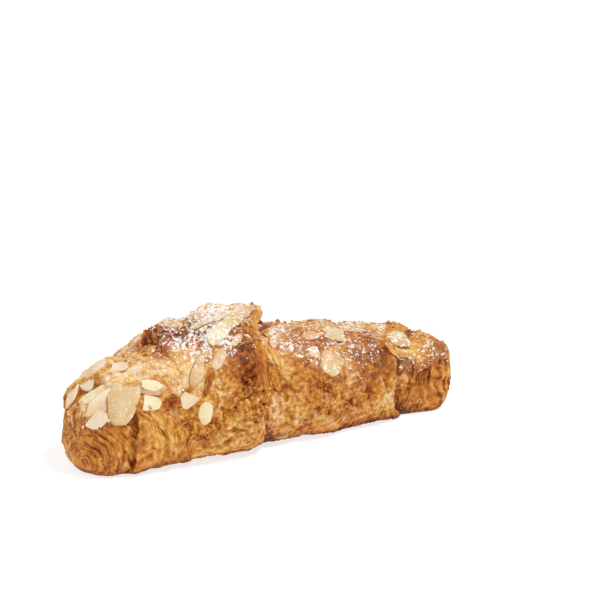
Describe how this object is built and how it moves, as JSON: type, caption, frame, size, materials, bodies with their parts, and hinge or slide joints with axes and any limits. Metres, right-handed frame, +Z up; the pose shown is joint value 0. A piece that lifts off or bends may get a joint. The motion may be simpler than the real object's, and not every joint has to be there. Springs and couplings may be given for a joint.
{
  "type": "almond croissant",
  "caption": "Whole baked almond croissant, slightly bent, with a layered golden crust, baked almond cream, sliced almonds and powdered sugar on top.",
  "frame": {"origin": "centre of the bounding box at the flat underside, on the surface the croissant lies on", "axes": "+X along the roll from the blunt near tip towards the slimmer tip, +Z up, -Y towards the front that the picture shows"},
  "size_m": [0.1812, 0.0749, 0.0549],
  "materials": {
    "crust": null,
    "almond_cream": null,
    "almond": null,
    "sugar": null
  },
  "bodies": {
    "root": {"croissant": "crust"}
  },
  "joints": []
}
